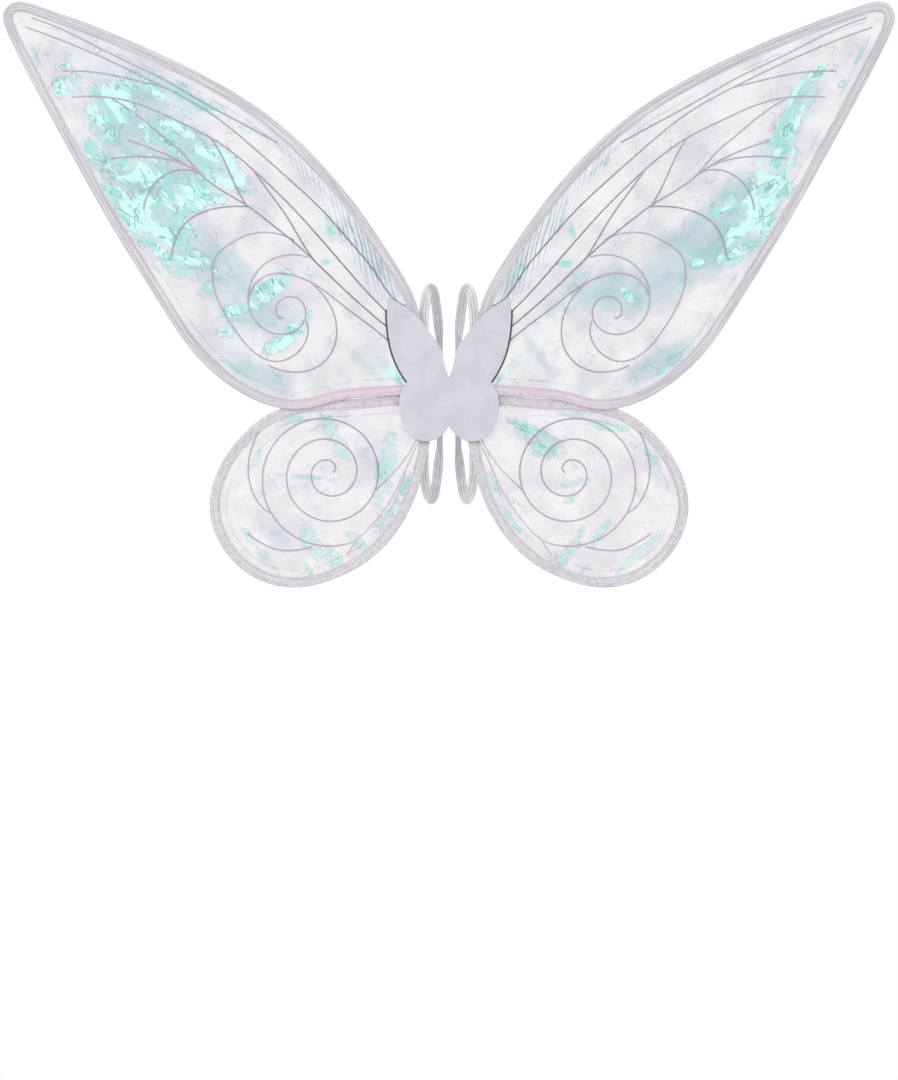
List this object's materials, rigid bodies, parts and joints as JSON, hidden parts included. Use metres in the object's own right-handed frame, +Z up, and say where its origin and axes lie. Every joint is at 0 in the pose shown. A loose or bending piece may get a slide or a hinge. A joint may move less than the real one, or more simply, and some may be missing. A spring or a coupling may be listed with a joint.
{
  "type": "fairy wings",
  "caption": "Dress-up fairy wings: clear film fore- and hindwings on wire loops with fabric edges and glitter veins, a butterfly felt patch in the middle and elastic arm loops.",
  "frame": {"origin": "centre of the rear felt patch, on the face that rests on the wearer's back", "axes": "+X along the span to the viewer's right as seen from the outer side, +Z up, +Y towards the wearer's back; the outer face looks along -Y"},
  "size_m": [0.949, 0.0742, 0.6235],
  "materials": {
    "felt": "soft pressed felt, pale lavender grey",
    "edge_binding": "thin glossy stretch fabric with long gathers, lavender grey with pink streaks",
    "film": "crinkled clear film with a faint mint and pink sheen",
    "dark_vein": "raised line of fine dark glitter glue",
    "spiral_vein": "raised line of fine lavender-grey glitter glue",
    "wire": "drawn steel wire",
    "wire_sleeve": "crimped tube",
    "strap_elastic": "ribbed translucent grey elastic",
    "thread": "twisted sewing thread",
    "edge_cord": "fine dark cord"
  },
  "bodies": {
    "spine": {"front_patch_fold": "felt", "rear_patch_fold": "felt"},
    "right_wing": {"right_forewing_wire": "wire", "right_forewing_wire_sleeve": "wire_sleeve", "right_forewing_edge_binding": "edge_binding", "right_forewing_film": "film", "right_forewing_long_veins": "dark_vein", "right_forewing_spiral_veins": "spiral_vein", "right_hindwing_wire": "wire", "right_hindwing_wire_sleeve": "wire_sleeve", "right_hindwing_edge_binding": "edge_binding", "right_hindwing_film": "film", "right_hindwing_veins": "spiral_vein", "right_wing_seam_stitches": "thread", "right_front_patch": "felt", "right_rear_patch": "felt", "right_patch_edge_cord": "edge_cord", "right_strap_sewn_strand": "strap_elastic", "right_strap_bar_stitches": "thread"},
    "right_strap": {"right_strap_loop": "strap_elastic"},
    "left_wing": {"left_forewing_wire": "wire", "left_forewing_wire_sleeve": "wire_sleeve", "left_forewing_edge_binding": "edge_binding", "left_forewing_film": "film", "left_forewing_long_veins": "dark_vein", "left_forewing_spiral_veins": "spiral_vein", "left_hindwing_wire": "wire", "left_hindwing_wire_sleeve": "wire_sleeve", "left_hindwing_edge_binding": "edge_binding", "left_hindwing_film": "film", "left_hindwing_veins": "spiral_vein", "left_wing_seam_stitches": "thread", "left_front_patch": "felt", "left_rear_patch": "felt", "left_patch_edge_cord": "edge_cord", "left_strap_sewn_strand": "strap_elastic", "left_strap_bar_stitches": "thread"},
    "left_strap": {"left_strap_loop": "strap_elastic"}
  },
  "joints": [
    {"name": "right_wing_fold", "type": "hinge", "parent": "spine", "child": "right_wing", "pos_m": [0.00415, -0.0096, 0], "axis": [0, 0, -1], "range_deg": [0, 90]},
    {"name": "right_strap_swing", "type": "hinge", "parent": "right_wing", "child": "right_strap", "pos_m": [0.027, 0.00665, 0], "axis": [0, 0, -1], "range_deg": [-4, 90]},
    {"name": "left_wing_fold", "type": "hinge", "parent": "spine", "child": "left_wing", "pos_m": [-0.00415, -0.0096, 0], "axis": [0, 0, 1], "range_deg": [0, 90]},
    {"name": "left_strap_swing", "type": "hinge", "parent": "left_wing", "child": "left_strap", "pos_m": [-0.027, 0.00665, 0], "axis": [0, 0, 1], "range_deg": [-4, 90]}
  ]
}
